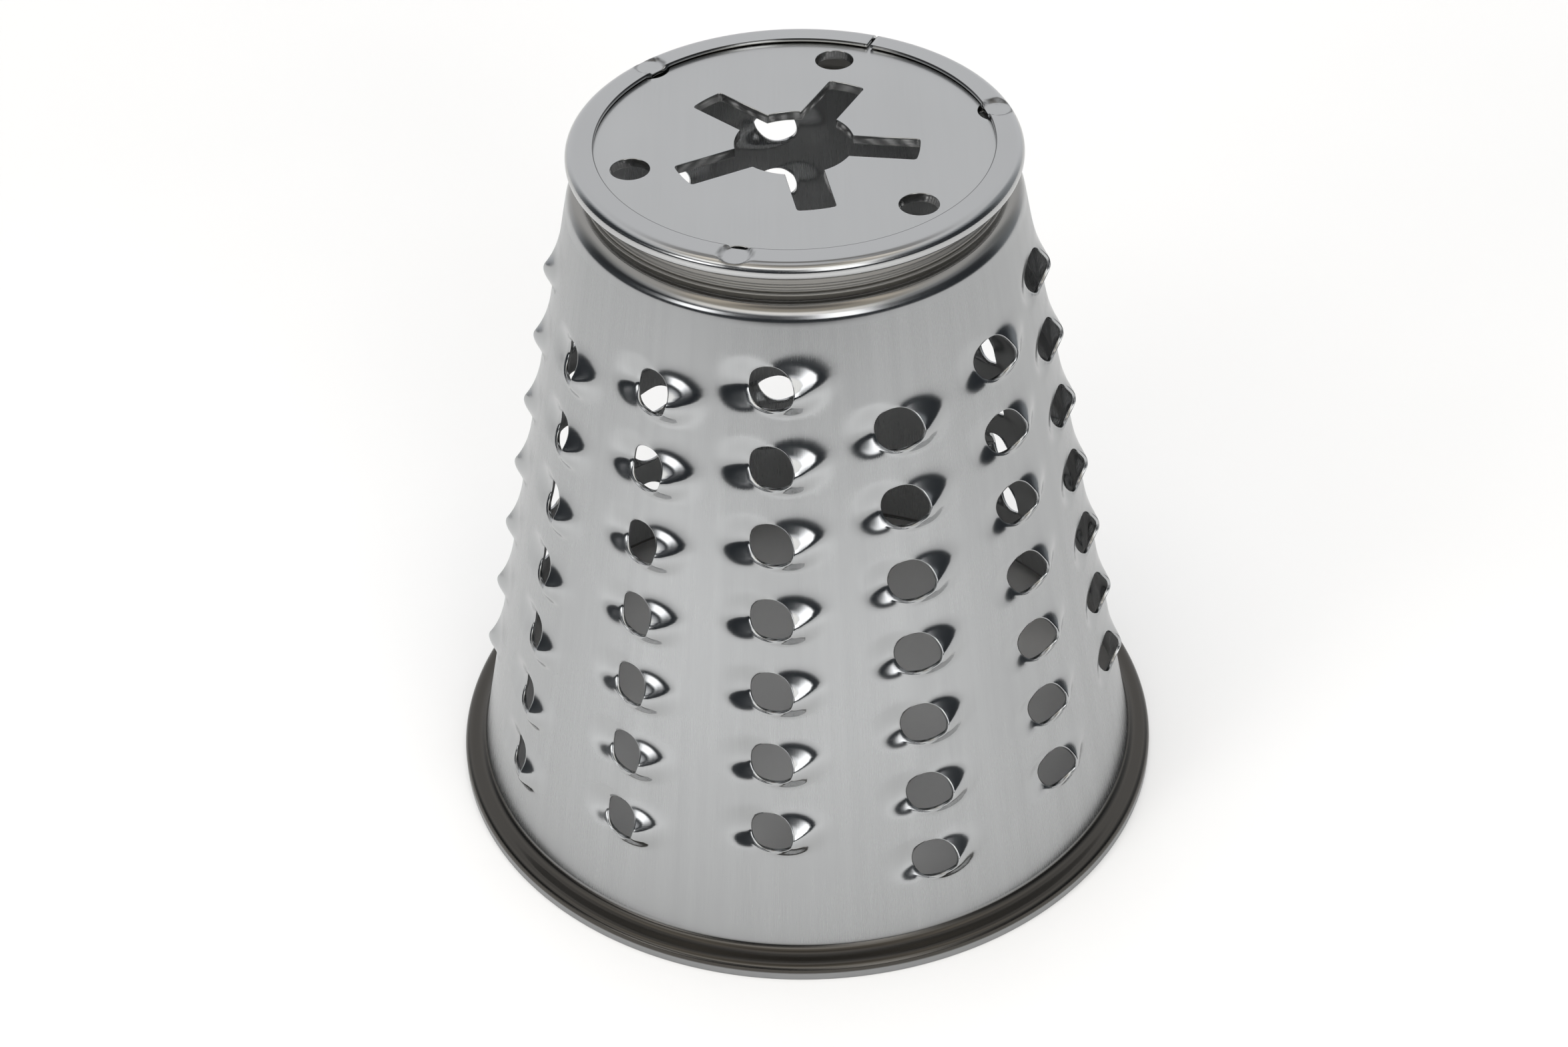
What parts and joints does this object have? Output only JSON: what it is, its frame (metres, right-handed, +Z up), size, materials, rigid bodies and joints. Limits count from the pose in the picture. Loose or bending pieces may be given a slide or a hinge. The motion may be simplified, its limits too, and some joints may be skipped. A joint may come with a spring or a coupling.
{
  "type": "grater cone",
  "caption": "Sheet-metal grating cone with rows of raised teeth, open at its wide end, with a drive plate with a star-shaped socket gripped in its narrow end.",
  "frame": {"origin": "centre of the wide rim's resting plane, on the cone's axis", "axes": "+Z up along the cone's axis from the wide rim to the drive plate; +X is 14.3 degrees short of a locking crimp"},
  "size_m": [0.105, 0.105, 0.1045],
  "materials": {
    "cone_sheet": "fine brushed stainless sheet, bright on the bends",
    "plate_steel": "satin stainless plate with bright cut edges"
  },
  "bodies": {
    "root": {"cone_shell": "cone_sheet", "drive_plate": "plate_steel"}
  },
  "joints": []
}
